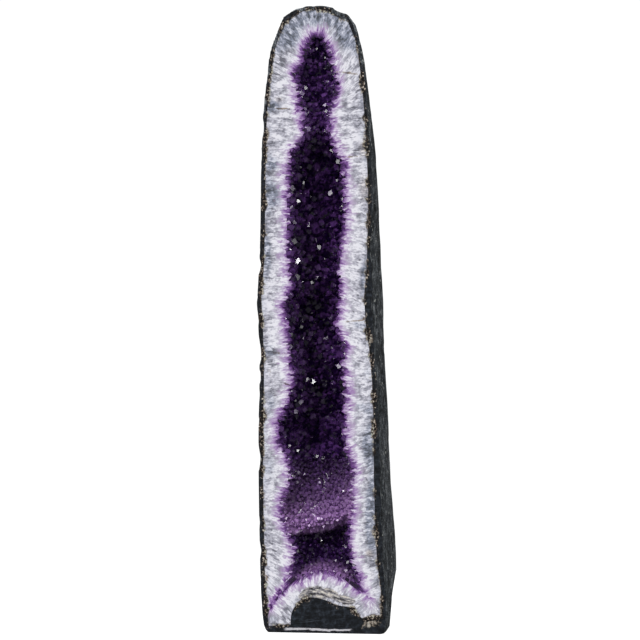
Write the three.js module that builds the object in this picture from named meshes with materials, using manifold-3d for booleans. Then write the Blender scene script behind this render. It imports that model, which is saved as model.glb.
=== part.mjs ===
// A tall amethyst cathedral geode: half of a long gas bubble in basalt, sawn open along its length and
// stood on a flat sawn base. A dark basalt rind wraps a thick wall of white quartz, and a crust of
// amethyst crystals lines the hollow. At the foot a mound of basalt rises into the quartz, and the
// hollow's floor arches over it. Above that floor a ledge of crystals leans forward over a recess.
//
// Millimetres, +Z up. The sawn face looks along -Y, and +X is the viewer's right. The dimensions below
// are written with the sawn face at y = 0, the base at z = 0 and y growing towards the back. The
// finished group is then moved so that its origin is the bottom centre of its bounding box.

import * as THREE from 'three';
import { mergeVertices } from 'three/addons/utils/BufferGeometryUtils.js';
import Module from 'manifold-3d';

const wasm = await Module();
wasm.setup();

// Outline of the sawn face: [height, x] of its left and right edges, from the base to the crown.
const CROWN_HEIGHT = 1202;
const FACE_LEFT = [
  [0, -115], [5, -120], [14, -124], [60, -129], [150, -132], [270, -134.5], [400, -135], [500, -133],
  [600, -136], [643, -139], [695, -134], [800, -131], [900, -130], [1013, -125], [1060, -119],
  [1100, -115], [1138, -105], [1168, -91], [1184, -83], [1191, -73], [1198, -57], [CROWN_HEIGHT, -40],
];
const FACE_RIGHT = [
  [0, 113], [5, 119], [16, 125], [38, 127], [66, 124.5], [142, 118.5], [295, 113.5], [447, 107.5],
  [523, 102.5], [580, 98.5], [656, 97.5], [742, 95.5], [809, 97.5], [885, 95.5], [951, 92.5], [1009, 88],
  [1060, 83], [1099, 78], [1129, 72], [1152, 66], [1172, 57], [1187, 42], [1195, 26], [CROWN_HEIGHT, -4],
];
// [height, y] of the back of the stone, and how square its cross-section is there (2 is an ellipse).
const BACK_DEPTH = [
  [0, 139], [14, 143], [34, 152], [63, 173], [100, 190], [137, 198], [180, 200], [218, 196], [295, 190],
  [370, 185], [446, 181], [520, 181], [600, 181], [680, 171], [740, 158], [825, 145], [885, 132],
  [950, 109], [1009, 88], [1050, 73], [1090, 61], [1120, 53], [1150, 43], [1175, 33], [1190, 23],
  [1198, 14], [CROWN_HEIGHT, 6],
];
const BACK_SQUARENESS = [
  [0, 1.8], [63, 1.85], [100, 2.3], [137, 2.5], [200, 2.5], [295, 2.3], [520, 2.25], [620, 2.35],
  [740, 2.35], [900, 2.2], [CROWN_HEIGHT, 2],
];

// The broken back of the stone: how high its broad lumps and its sharp chips stand, and how wide a lump
// is. Both fade out over the crown, where the rind is thin.
const LUMP_HEIGHT = 3.2;
const LUMP_SIZE = 62;
const CHIP_HEIGHT = 1.8;
const SMOOTH_CROWN = 60;

// Thickness of the basalt rind: [height, thickness] at the two edges of the face, and at the back.
const RIND_LEFT = [[0, 9], [900, 9], [1060, 7.5], [CROWN_HEIGHT, 6]];
const RIND_RIGHT = [
  [0, 7], [100, 11], [200, 13], [300, 13], [400, 10], [520, 9], [590, 14], [627, 19], [660, 14], [720, 9],
  [1060, 8], [CROWN_HEIGHT, 6],
];
const RIND_BACK = [[0, 16], [900, 14], [1100, 9], [CROWN_HEIGHT, 3]];
const RIND_CROWN = 7;
// The inside of the rind follows the outline's crown from this height on.
const CROWN_START = 1000;
// The rind's floor is thicker under the right side of the face, and its tilt fades out at a height.
const FLOOR_LEFT = 11;
const FLOOR_RIGHT = 33;
const FLOOR_TILT_END = 160;

// Outline of the hollow at the sawn face, [height, x], midway between the crystals' feet and tips.
const HOLLOW_FLOOR = 86;
const HOLLOW_TOP = 1141;
const HOLLOW_LEFT = [
  [HOLLOW_FLOOR, -78], [104, -69], [138, -62], [180, -60], [205, -74], [238, -87], [272, -82], [300, -67],
  [326, -70], [359, -91], [391, -97], [424, -84], [453, -67], [492, -63], [532, -72], [580, -74],
  [628, -82], [668, -66], [724, -74], [782, -71], [906, -72], [929, -63], [946, -45], [969, -32],
  [998, -43], [1027, -50], [1060, -58], [1079, -55], [1101, -40], [1130, -34], [HOLLOW_TOP, -22],
];
const HOLLOW_RIGHT = [
  [HOLLOW_FLOOR, 76], [107, 66], [133, 54], [169, 46], [213, 52], [255, 57], [274, 47], [288, 57],
  [317, 56], [351, 44], [376, 34], [408, 43], [446, 38], [494, 41], [523, 34], [551, 39], [584, 22],
  [610, 24], [656, 31], [702, 25], [733, 31], [781, 37], [838, 39], [895, 35], [916, 26], [938, 16],
  [966, 4], [997, 7], [1024, 19], [1050, 25], [1085, 15], [1112, 7], [1130, 1], [HOLLOW_TOP, -10],
];
// [height, y] of the hollow's back: the floor climbs away from the lip, the ledge stands out above it.
const LEDGE_HEIGHT = 215;
const HOLLOW_DEPTH = [
  [HOLLOW_FLOOR, 6], [100, 26], [120, 44], [150, 62], [180, 76], [200, 82], [LEDGE_HEIGHT - 8, 60],
  [LEDGE_HEIGHT - 3, 26], [LEDGE_HEIGHT + 6, 19], [240, 29], [270, 47], [300, 68], [330, 86], [370, 102],
  [450, 112], [550, 112], [650, 107], [750, 97], [830, 86], [900, 74], [940, 58], [966, 44], [1000, 42],
  [1040, 37], [1080, 28], [1110, 20], [1130, 13], [HOLLOW_TOP, 5],
];
const HOLLOW_SQUARENESS = 2.3;
// The floor's arch over the basalt mound, and the ledge's edge, which climbs from its left to its right.
const ARCH_RISE = 34;
const ARCH_MIDDLE = -5;
const ARCH_HALF_WIDTH = 78;
const ARCH_FADES_AT = 190;
const LEDGE_LOW_SIDE = -66;
const LEDGE_HIGH_SIDE = 52;
const LEDGE_DROP = 18;
const LEDGE_RISE = 31;
const LEDGE_REACH = 105;

// Outline of the basalt mound in the sawn face, as [x, z], from its left foot over its two crests.
const MOUND_OUTLINE = [
  [-69, 19], [-67, 38], [-59, 51], [-46, 61.5], [-30, 67.5], [-14, 67], [3, 62.5], [19, 56], [34, 52.5],
  [49, 51], [60, 45], [68, 36], [79, 28],
];
const MOUND_DEPTH = 95;
const MOUND_CORE = [0, 20];
const MOUND_FOOT = 4;
const MOUND_POINTS = 30;

// The amethyst crust: how far its back, its crystals' feet and their tips stand from the hollow's outline.
const CRUST_BACK = 9;
const CRYSTAL_FEET = 5;
const CRYSTAL_TIPS = -5.5;
const CRYSTAL_ROWS = 56;
const CRYSTALS_PER_ROW = 12;
// Crystals are uneven: how far a tip wanders, in steps of its grid, and how far tips and feet stand out.
const TIP_WANDER = 0.26;
const TIP_UNEVEN = 2.8;
const FOOT_UNEVEN = 1.2;

// How finely the surfaces are cut into flat facets: rows up the stone, and points round it.
const STONE_ROWS = 35;
const STONE_AROUND = 22;
const INSIDE_ROWS = 25;
const INSIDE_AROUND = 14;
const ROOM_ROWS = 32;
const ROOM_ACROSS = 11;
const CROWN_CROWDING = 1.25;

// Room between pieces that meet. How far the hollow's wall runs on past the sawn face, and how far a
// cutting solid does.
const GAP = 0.3;
const WALL_PAST_FACE = 9;
const PAST_FACE = 16;
const MERGE_DISTANCE = 1e-4;

const COLOURS = {
  basalt: new THREE.MeshStandardMaterial({ color: 0x2b2e31, roughness: 0.85, metalness: 0 }),
  quartz: new THREE.MeshStandardMaterial({ color: 0xd9d9e4, roughness: 0.3, metalness: 0 }),
  amethyst: new THREE.MeshStandardMaterial({ color: 0x3a1a5e, roughness: 0.12, metalness: 0 }),
};

// A smooth curve through [at, value] pairs, with a slope at each pair taken from its neighbours.
function curveThrough(pairs) {
  const slopes = pairs.map((_, i) => {
    const before = pairs[Math.max(i - 1, 0)];
    const after = pairs[Math.min(i + 1, pairs.length - 1)];
    return (after[1] - before[1]) / (after[0] - before[0]);
  });
  return (at) => {
    if (at <= pairs[0][0]) return pairs[0][1];
    if (at >= pairs[pairs.length - 1][0]) return pairs[pairs.length - 1][1];
    const i = pairs.findIndex((pair) => pair[0] > at) - 1;
    const [start, from] = pairs[i];
    const [end, to] = pairs[i + 1];
    const span = end - start;
    const t = (at - start) / span;
    const a = (2 * t ** 3 - 3 * t ** 2 + 1) * from + (t ** 3 - 2 * t ** 2 + t) * span * slopes[i];
    return a + (3 * t ** 2 - 2 * t ** 3) * to + (t ** 3 - t ** 2) * span * slopes[i + 1];
  };
}

const faceLeft = curveThrough(FACE_LEFT);
const faceRight = curveThrough(FACE_RIGHT);
const backDepth = curveThrough(BACK_DEPTH);
const backSquareness = curveThrough(BACK_SQUARENESS);
const rindLeft = curveThrough(RIND_LEFT);
const rindRight = curveThrough(RIND_RIGHT);
const rindBack = curveThrough(RIND_BACK);
const hollowLeft = curveThrough(HOLLOW_LEFT);
const hollowRight = curveThrough(HOLLOW_RIGHT);
const hollowDepth = curveThrough(HOLLOW_DEPTH);

// A repeatable number from -1 to 1 for any three numbers.
function scatter(a, b, c) {
  const wave = Math.sin(a * 127.1 + b * 311.7 + c * 74.7) * 43758.5453;
  return 2 * (wave - Math.floor(wave)) - 1;
}

// The same, but smooth in space, for lumps about as wide as the scale.
function lumps(point, scale) {
  const cell = point.clone().divideScalar(scale).floor();
  const part = point.clone().divideScalar(scale).sub(cell);
  const ease = (t) => t * t * (3 - 2 * t);
  let sum = 0;
  for (let corner = 0; corner < 8; corner += 1) {
    const [i, j, k] = [corner & 1, (corner >> 1) & 1, corner >> 2];
    const weight = (i ? ease(part.x) : 1 - ease(part.x)) * (j ? ease(part.y) : 1 - ease(part.y))
      * (k ? ease(part.z) : 1 - ease(part.z));
    sum += weight * scatter(cell.x + i, cell.y + j, cell.z + k);
  }
  return sum;
}

// Heights from start to end, closer together towards the crown.
function heightsTo(start, end, count) {
  return Array.from({ length: count }, (_, i) => {
    const t = i / (count - 1);
    return start + (end - start) * (1 - (1 - t) ** CROWN_CROWDING);
  });
}

// One point of a D-shaped section: turn goes from 0 at the left edge of the face to PI at its right edge.
function sectionPoint(left, right, depth, squareness, turn) {
  const power = 2 / squareness;
  const across = Math.cos(turn);
  const x = (left + right) / 2 - ((right - left) / 2) * Math.sign(across) * Math.abs(across) ** power;
  return new THREE.Vector3(x, depth * Math.max(Math.sin(turn), 0) ** power, 0);
}

// A manifold-3d solid from a closed three.js geometry, and the other way round.
function solidFrom(geometry) {
  const bare = geometry.clone();
  bare.deleteAttribute('normal');
  bare.deleteAttribute('uv');
  const merged = mergeVertices(bare, MERGE_DISTANCE);
  return new wasm.Manifold(new wasm.Mesh({
    numProp: 3,
    vertProperties: merged.attributes.position.array,
    triVerts: new Uint32Array(merged.index.array),
  }));
}

function geometryFrom(solid) {
  const mesh = solid.getMesh();
  const geometry = new THREE.BufferGeometry();
  geometry.setAttribute('position', new THREE.BufferAttribute(mesh.vertProperties, 3));
  geometry.setIndex(new THREE.BufferAttribute(mesh.triVerts, 1));
  const flat = geometry.toNonIndexed();
  flat.computeVertexNormals();
  return flat;
}

// Triangles over a stack of rings of point numbers, from one column of it on, and over its two ends. An end
// is closed by joining each point of its ring to the one as far from the ring's other end.
function skin(rings, firstColumn = 0) {
  const around = rings[0].length;
  const triangles = [];
  for (let j = 0; j + 1 < rings.length; j += 1) {
    for (let i = firstColumn; i < around; i += 1) {
      const [a, b] = [rings[j][i], rings[j][(i + 1) % around]];
      const [c, d] = [rings[j + 1][i], rings[j + 1][(i + 1) % around]];
      triangles.push(a, c, b, b, c, d);
    }
  }
  for (let i = 0; i + 1 < around / 2; i += 1) {
    const across = (ring) => [ring[i], ring[i + 1], ring[around - 2 - i], ring[around - 1 - i]];
    const [a, b, c, d] = across(rings[0]);
    const [e, f, g, h] = across(rings.at(-1));
    triangles.push(a, b, c, a, c, d, e, g, f, e, h, g);
  }
  return triangles;
}

function solidOf(points, triangles) {
  const geometry = new THREE.BufferGeometry().setFromPoints(points);
  geometry.setIndex(triangles);
  return solidFrom(geometry);
}

// A closed solid through rings of points. Each has the same even number of points, and runs from the left
// of the sawn face round the back to its right.
function loft(rings) {
  return solidOf(rings.flat(), skin(rings.map((ring, j) => ring.map((_, i) => j * ring.length + i))));
}

// The whole stone before anything is taken out of it, with a rough, broken back.
function wholeStone() {
  const heights = [0, 5, 14, ...heightsTo(34, CROWN_HEIGHT - 5, STONE_ROWS), CROWN_HEIGHT];
  return loft(heights.map((z) => Array.from({ length: STONE_AROUND }, (_, i) => {
    const turn = (Math.PI * i) / (STONE_AROUND - 1);
    const p = sectionPoint(faceLeft(z), faceRight(z), backDepth(z), backSquareness(z), turn);
    p.z = z;
    const middle = (faceLeft(z) + faceRight(z)) / 2;
    const outward = new THREE.Vector3(p.x - middle, p.y, 0).normalize();
    const behindFace = Math.sin(turn);
    const belowCrown = Math.min(1, (CROWN_HEIGHT - z) / SMOOTH_CROWN);
    const rough = LUMP_HEIGHT * lumps(p, LUMP_SIZE) + CHIP_HEIGHT * scatter(i, Math.round(z), 3);
    p.addScaledVector(outward, rough * behindFace * belowCrown);
    p.y = Math.max(p.y, 0);
    return p;
  })));
}

// The space inside the rind, which the quartz fills, made smaller by a clearance. It passes the sawn face.
function insideRind(clearance) {
  const { smoothstep } = THREE.MathUtils;
  const top = CROWN_HEIGHT - RIND_CROWN - clearance;
  const heights = [...heightsTo(FLOOR_LEFT, top - 4, INSIDE_ROWS), top];
  return loft(heights.map((z) => {
    const outlineHeight = z + (RIND_CROWN + clearance) * smoothstep(z, CROWN_START, top);
    const left = faceLeft(outlineHeight) + rindLeft(outlineHeight) + clearance;
    const right = faceRight(outlineHeight) - rindRight(outlineHeight) - clearance;
    const depth = Math.max(backDepth(outlineHeight) - rindBack(outlineHeight) - clearance, 2);
    const nearFloor = 1 - smoothstep(z, FLOOR_LEFT, FLOOR_TILT_END);
    const ring = Array.from({ length: INSIDE_AROUND }, (_, i) => {
      const turn = (Math.PI * i) / (INSIDE_AROUND - 1);
      const p = sectionPoint(left, right, depth, backSquareness(outlineHeight), turn);
      const acrossFace = (p.x - left) / (right - left);
      p.z = z + nearFloor * (clearance + (FLOOR_RIGHT - FLOOR_LEFT) * acrossFace);
      return p;
    });
    const forward = (p) => new THREE.Vector3(p.x, -PAST_FACE, p.z);
    return [forward(ring[0]), ...ring, forward(ring.at(-1))];
  }));
}

// How far a row of the hollow is lifted at x: by the arch near the floor, and by the ledge's climb.
function rowLift(x, rowHeight) {
  const arch = Math.max(0, 1 - ((x - ARCH_MIDDLE) / ARCH_HALF_WIDTH) ** 2);
  const nearFloor = 1 - THREE.MathUtils.smoothstep(rowHeight, HOLLOW_FLOOR, ARCH_FADES_AT);
  const acrossLedge = Math.max(0, (x - LEDGE_LOW_SIDE) / (LEDGE_HIGH_SIDE - LEDGE_LOW_SIDE));
  const nearLedge = 1 - THREE.MathUtils.smoothstep(Math.abs(rowHeight - LEDGE_HEIGHT), 0, LEDGE_REACH);
  return ARCH_RISE * arch * nearFloor + (LEDGE_RISE * acrossLedge ** 2 - LEDGE_DROP) * nearLedge;
}

// How much of a growth of the hollow goes upwards in a row: down at its floor, up under the ledge and at
// the top.
function growsUpwards(rowHeight) {
  const { smoothstep } = THREE.MathUtils;
  const aboveLedge = rowHeight - LEDGE_HEIGHT;
  const atFloor = 1 - smoothstep(rowHeight, HOLLOW_FLOOR, HOLLOW_FLOOR + 40);
  const underLedge = smoothstep(aboveLedge, -30, -14) * (1 - smoothstep(aboveLedge, -7, 7));
  const atTop = smoothstep(rowHeight, HOLLOW_TOP - 60, HOLLOW_TOP);
  return underLedge + atTop - atFloor;
}

// A point of the hollow's wall, grown outwards. along goes from 0 at the face's left to 1 at its right,
// and its first and last stretches run straight forward through the sawn face.
function wallPoint(rowHeight, along, grow) {
  const depth = Math.max(hollowDepth(rowHeight) + grow, 2);
  const middle = (hollowLeft(rowHeight) + hollowRight(rowHeight)) / 2;
  const half = Math.max((hollowRight(rowHeight) - hollowLeft(rowHeight)) / 2 + grow, 3);
  const wall = Math.PI * Math.sqrt((half * half + depth * depth) / 2);
  const run = along * (wall + 2 * WALL_PAST_FACE);
  const left = middle - half;
  const right = middle + half;
  let p;
  if (run < WALL_PAST_FACE) {
    p = new THREE.Vector3(left, run - WALL_PAST_FACE, 0);
  } else if (run > WALL_PAST_FACE + wall) {
    p = new THREE.Vector3(right, WALL_PAST_FACE + wall - run, 0);
  } else {
    p = sectionPoint(left, right, depth, HOLLOW_SQUARENESS, (Math.PI * (run - WALL_PAST_FACE)) / wall);
  }
  p.z = rowHeight + rowLift(p.x, rowHeight) + grow * growsUpwards(rowHeight);
  return p;
}

// The points in front of the sawn face that close a row of the hollow, from its right to its left.
function frontPoints(rowHeight, count, grow) {
  return Array.from({ length: count }, (_, i) => {
    const [start, end] = [wallPoint(rowHeight, 1, grow), wallPoint(rowHeight, 0, grow)];
    const x = THREE.MathUtils.lerp(start.x, end.x, i / (count - 1));
    const z = rowHeight + rowLift(x, rowHeight) + grow * growsUpwards(rowHeight);
    return new THREE.Vector3(x, -PAST_FACE, z);
  });
}

// Row heights spaced evenly along the hollow's back, so that the ledge's underside has rows of its own.
function hollowRows(count) {
  const steps = 2000;
  const lengths = [0];
  const heightAt = (i) => HOLLOW_FLOOR + ((HOLLOW_TOP - HOLLOW_FLOOR) * i) / steps;
  for (let i = 1; i <= steps; i += 1) {
    const [below, above] = [heightAt(i - 1), heightAt(i)];
    const deeper = hollowDepth(above) - hollowDepth(below);
    lengths.push(lengths[i - 1] + Math.hypot(above - below, deeper));
  }
  return Array.from({ length: count }, (_, row) => {
    const wanted = (lengths[steps] * row) / (count - 1);
    return heightAt(lengths.findIndex((length) => length >= wanted - 1e-6));
  });
}

// The room that the crust fills with its back against the quartz.
function crustRoom(grow) {
  return loft(hollowRows(ROOM_ROWS).map((rowHeight) => [
    ...Array.from({ length: ROOM_ACROSS }, (_, i) => wallPoint(rowHeight, i / (ROOM_ACROSS - 1), grow)),
    ...frontPoints(rowHeight, ROOM_ACROSS, grow),
  ]));
}

// Faces of crystals over a grid of tips, seen from outside the air around them. Each cell of three
// neighbouring tips gets a foot between them, and each tip a flat face to every pair of feet around it.
function crystalFaces(tips, footAt) {
  const triangles = [];
  const open = new Map();
  const addCell = (corners, row, column) => {
    const foot = footAt(row, column);
    corners.forEach((from, i) => {
      const to = corners[(i + 1) % 3];
      const key = [Math.min(from, to), Math.max(from, to)].join();
      if (open.has(key)) {
        const other = open.get(key).foot;
        triangles.push(from, foot, other, to, other, foot);
        open.delete(key);
      } else {
        open.set(key, { from, to, foot });
      }
    });
  };
  for (let row = 0; row + 1 < tips.length; row += 1) {
    for (let i = 0; i + 1 < tips[row].length; i += 1) {
      const [a, b] = [tips[row][i], tips[row][i + 1]];
      const [c, d] = [tips[row + 1][i], tips[row + 1][i + 1]];
      if (row % 2) {
        addCell([a, d, c], row + 2 / 3, i + 0.5);
        addCell([a, b, d], row + 1 / 3, i + 1);
      } else {
        addCell([a, b, c], row + 1 / 3, i + 0.5);
        addCell([b, d, c], row + 2 / 3, i + 1);
      }
    }
  }
  for (const { from, to, foot } of open.values()) triangles.push(to, from, foot);
  return triangles;
}

// The air in the hollow, bounded by crystals. Their tips stand on a grid with every second row moved by
// half a step, and wander a little from it.
function airBetweenCrystals() {
  const heights = hollowRows(CRYSTAL_ROWS);
  const last = heights.length - 1;
  const points = [];
  const place = (row, column, grow) => {
    const [low, high] = [Math.floor(row), Math.ceil(row)].map((r) => THREE.MathUtils.clamp(r, 0, last));
    const rowHeight = THREE.MathUtils.lerp(heights[low], heights[high], row - low);
    const along = THREE.MathUtils.clamp(column / (CRYSTALS_PER_ROW - 0.5), 0, 1);
    return points.push(wallPoint(rowHeight, along, grow)) - 1;
  };
  const tips = heights.map((_, row) => Array.from({ length: CRYSTALS_PER_ROW }, (__, i) => {
    const column = i + (row % 2) / 2;
    if (row === 0 || row === last || i === 0 || i === CRYSTALS_PER_ROW - 1) {
      return place(row, column, CRYSTAL_TIPS);
    }
    const [up, along, out] = [1, 2, 3].map((seed) => scatter(row, i, seed));
    return place(row + TIP_WANDER * up, column + TIP_WANDER * along, CRYSTAL_TIPS + TIP_UNEVEN * out);
  }));
  const footAt = (row, column) => place(row, column, CRYSTAL_FEET + FOOT_UNEVEN * scatter(row, column, 5));
  const faces = crystalFaces(tips, footAt);
  const rings = tips.map((row, j) => {
    const front = frontPoints(heights[j], CRYSTALS_PER_ROW, CRYSTAL_TIPS);
    return [...row, ...front.map((p) => points.push(p) - 1)];
  });
  return solidOf(points, [...faces, ...skin(rings, CRYSTALS_PER_ROW - 1)]);
}

// The basalt mound, grown by a clearance, as an outline pushed back from somewhere before the sawn face.
// Its foot lies inside the rind's floor.
function mound(clearance) {
  const core = new THREE.Vector2(...MOUND_CORE);
  const outline = MOUND_OUTLINE.map(([x, z]) => {
    const p = new THREE.Vector2(x, z);
    return p.add(p.clone().sub(core).normalize().multiplyScalar(clearance));
  });
  const shape = new THREE.Shape(new THREE.SplineCurve(outline).getPoints(MOUND_POINTS));
  shape.lineTo(MOUND_OUTLINE.at(-1)[0] + clearance, MOUND_FOOT);
  shape.lineTo(MOUND_OUTLINE[0][0] - clearance, MOUND_FOOT);
  shape.closePath();
  const back = MOUND_DEPTH + clearance;
  const geometry = new THREE.ExtrudeGeometry(shape, { depth: back + PAST_FACE, bevelEnabled: false });
  geometry.rotateX(Math.PI / 2);
  geometry.translate(0, back, 0);
  return solidFrom(geometry);
}

// Keeps what lies behind the sawn face.
function behindFace(solid) {
  const size = 3 * CROWN_HEIGHT;
  const room = new THREE.BoxGeometry(size, size, size);
  room.translate(0, size / 2, 0);
  return solid.intersect(solidFrom(room));
}

function basaltRind() {
  const shell = wholeStone().subtract(insideRind(0));
  return behindFace(shell.add(mound(0)));
}

function quartzWall() {
  const block = behindFace(insideRind(GAP));
  return block.subtract(mound(GAP)).subtract(crustRoom(CRUST_BACK));
}

function amethystCrust() {
  return behindFace(crustRoom(CRUST_BACK - GAP).subtract(airBetweenCrystals()));
}

function named(name, solid, material) {
  const mesh = new THREE.Mesh(geometryFrom(solid), material);
  mesh.name = name;
  return mesh;
}

const geode = new THREE.Group();
geode.add(
  named('basalt_rind', basaltRind(), COLOURS.basalt),
  named('quartz_wall', quartzWall(), COLOURS.quartz),
  named('amethyst_crust', amethystCrust(), COLOURS.amethyst),
);

const bounds = new THREE.Box3().setFromObject(geode);
const centre = bounds.getCenter(new THREE.Vector3());
geode.position.set(-centre.x, -centre.y, -bounds.min.z);

export default geode;
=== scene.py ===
"""Looks of a tall half geode of amethyst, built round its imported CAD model."""

import logging
import math
from collections.abc import Callable
from dataclasses import dataclass
from enum import Enum
from functools import partial

import bmesh
import bpy
import numpy as np
from bmesh import ops
from bmesh.types import BMEdge, BMesh, BMVert
from bpy.types import Material, Mesh, Node, NodeSocket, NodeTree, Object
from mathutils import Matrix, Vector, noise
from mathutils.bvhtree import BVHTree
from mathutils.kdtree import KDTree


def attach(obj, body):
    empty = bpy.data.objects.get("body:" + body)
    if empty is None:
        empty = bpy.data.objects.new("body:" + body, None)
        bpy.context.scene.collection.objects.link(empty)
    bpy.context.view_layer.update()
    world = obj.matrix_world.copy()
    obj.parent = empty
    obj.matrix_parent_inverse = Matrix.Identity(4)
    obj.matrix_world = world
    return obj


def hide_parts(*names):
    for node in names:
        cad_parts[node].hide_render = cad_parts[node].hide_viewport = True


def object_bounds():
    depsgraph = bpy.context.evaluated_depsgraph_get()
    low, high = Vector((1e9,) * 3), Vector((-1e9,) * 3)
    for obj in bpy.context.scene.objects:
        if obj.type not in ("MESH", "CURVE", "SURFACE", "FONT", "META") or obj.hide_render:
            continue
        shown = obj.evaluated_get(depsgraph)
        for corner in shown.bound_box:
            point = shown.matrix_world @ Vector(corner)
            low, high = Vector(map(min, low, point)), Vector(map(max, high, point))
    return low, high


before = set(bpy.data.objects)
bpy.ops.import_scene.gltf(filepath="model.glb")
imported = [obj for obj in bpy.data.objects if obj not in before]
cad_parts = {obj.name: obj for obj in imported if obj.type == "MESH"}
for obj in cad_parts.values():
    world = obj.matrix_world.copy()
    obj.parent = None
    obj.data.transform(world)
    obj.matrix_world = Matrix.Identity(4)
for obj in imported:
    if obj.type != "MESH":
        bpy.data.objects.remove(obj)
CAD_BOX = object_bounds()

log = logging.getLogger("geode")

MM = 0.001
FACE_Y = CAD_BOX[0].y
FACE_X = 5.948 * MM
SAW_DEPTH = 0.04 * MM
# What lies this close to the sawn plane is in it, and corners this close to each other are one.
IN_PLANE = 0.01 * MM
MERGED = 0.002 * MM
# A face is sawn if its normal's y is below this.
SAWN_NORMAL = -0.999
UV_MAPS = ("growth", "edge", "marks", "hues")


def on_face(x: float, z: float, behind: float = 0.0) -> Vector:
    """Gives a point of the sawn face.

    Args:
        x: Millimetres to the right of the middle of the foot.
        z: Millimetres above the ground.
        behind: Millimetres behind the sawn face.

    Returns:
        The point in metres, in the frame of the CAD model.
    """
    return Vector((FACE_X + x * MM, FACE_Y + behind * MM, z * MM))


def linear(code: str, alpha: float = 1.0) -> tuple[float, float, float, float]:
    """Turns an sRGB hex colour into linear light.

    Args:
        code: The colour, as "#rrggbb".
        alpha: The fourth number.

    Returns:
        Linear red, green and blue, and alpha.
    """
    values = [int(code[i:i + 2], 16) / 255 for i in (1, 3, 5)]
    light = [v / 12.92 if v <= 0.04045 else ((v + 0.055) / 1.055) ** 2.4 for v in values]
    return (*light, alpha)


def per_mm(*sizes: float) -> tuple[float, ...]:
    """Gives the scale that makes one cell of a pattern as large as these millimetres."""
    return tuple(1 / (size * MM) for size in sizes)


def add_node(tree: NodeTree, kind: str, links: dict | None = None, out: int | str = 0,
             stops: tuple = (), **settings) -> NodeSocket:
    """Adds a node with its settings and links.

    Args:
        tree: The node tree that gets it.
        kind: The node's type.
        links: For each input, by name or number, the output that feeds it or its value.
        out: Which output is wanted.
        stops: For a colour ramp, the place and the colour of each stop, and its alpha where it isn't 1.
        settings: Properties of the node.

    Returns:
        The output.
    """
    node = tree.nodes.new(kind)
    for name, value in settings.items():
        setattr(node, name, value)
    for name, value in (links or {}).items():
        if isinstance(value, NodeSocket):
            tree.links.new(value, node.inputs[name])
        else:
            node.inputs[name].default_value = value
    for number, (place, *colour) in enumerate(stops):
        ramp = node.color_ramp.elements
        stop = ramp[number] if number < len(ramp) else ramp.new(place)
        stop.position = place
        stop.color = linear(*colour)
    return node.outputs[out]


def new_object(name: str, mesh: Mesh) -> Object:
    """Puts a mesh in the scene as an object."""
    made = bpy.data.objects.new(name, mesh)
    bpy.context.scene.collection.objects.link(made)
    return made


def object_from(name: str, shape: BMesh) -> Object:
    """Makes an object of a bmesh and frees the bmesh."""
    mesh = bpy.data.meshes.new(name)
    shape.to_mesh(mesh)
    shape.free()
    return new_object(name, mesh)


def node_copy(node: str) -> BMesh:
    """Copies a CAD node and joins its loose triangles.

    Args:
        node: The node's name.

    Returns:
        A closed bmesh.
    """
    shape = bmesh.new()
    shape.from_mesh(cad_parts[node].data)
    ops.remove_doubles(shape, verts=shape.verts, dist=MERGED)
    return shape


def drop(*objects: Object) -> None:
    """Deletes working objects and their meshes."""
    for working in objects:
        mesh = working.data
        bpy.data.objects.remove(working)
        bpy.data.meshes.remove(mesh)


def with_modifier(working: Object, kind: str, **settings) -> None:
    """Runs one modifier on an object and keeps its result as the object's mesh.

    Args:
        working: The object.
        kind: The modifier's type.
        settings: The modifier's properties.
    """
    modifier = working.modifiers.new(kind, kind)
    for name, value in settings.items():
        setattr(modifier, name, value)
    depsgraph = bpy.context.evaluated_depsgraph_get()
    mesh = bpy.data.meshes.new_from_object(working.evaluated_get(depsgraph))
    working.modifiers.clear()
    old, working.data = working.data, mesh
    bpy.data.meshes.remove(old)


class Join(Enum):
    """The ways in which one solid is worked into another."""

    ADD = "UNION"
    KEEP_INSIDE = "INTERSECT"
    CUT = "DIFFERENCE"


def work_in(working: Object, other: Object, how: Join) -> None:
    """Adds a solid to another, cuts it out, or keeps what lies inside both."""
    with_modifier(working, "BOOLEAN", operation=how.value, object=other, solver="MANIFOLD")


def keep_largest(working: Object) -> None:
    """Deletes loose splinters and closed bubbles, so that one body is left."""
    shape = bmesh.new()
    shape.from_mesh(working.data)
    left = set(shape.verts)
    bodies = []
    while left:
        body = {left.pop()}
        edge_of_body = list(body)
        while edge_of_body:
            for edge in edge_of_body.pop().link_edges:
                for vertex in edge.verts:
                    if vertex in left:
                        left.remove(vertex)
                        body.add(vertex)
                        edge_of_body.append(vertex)
        bodies.append(body)
    bodies.sort(key=len)
    ops.delete(shape, geom=[v for body in bodies[:-1] for v in body], context="VERTS")
    shape.to_mesh(working.data)
    shape.free()


class Mark(Enum):
    """The kinds of natural marks that the sawn face shows."""

    GREY = "grey, see-through quartz"
    STAIN = "brown stain or healed crack"
    AGATE = "banded agate"
    VIOLET = "amethyst that reaches past the hollow's edge"
    CREAM = "cream and grey-green clay, or quartz tinted by it"


@dataclass(frozen=True)
class Patch:
    """One mark on the sawn face: a soft ellipse, in millimetres.

    Attributes:
        kind: What the mark is.
        x: Its middle, to the right of the middle of the foot.
        z: Its middle, above the ground.
        wide: Half its width.
        high: Half its height.
        turn: Degrees by which its width is turned up to the right.
        strength: How strong it is, up to 1.
    """

    kind: Mark
    x: float
    z: float
    wide: float
    high: float
    turn: float = 0.0
    strength: float = 1.0

    def at(self, x: float, z: float) -> float:
        """Gives the mark's strength at a point of the face."""
        angle = math.radians(self.turn)
        across, up = x - self.x, z - self.z
        a = (across * math.cos(angle) + up * math.sin(angle)) / self.wide
        b = (up * math.cos(angle) - across * math.sin(angle)) / self.high
        return self.strength * math.exp(-(a * a + b * b))


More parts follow.
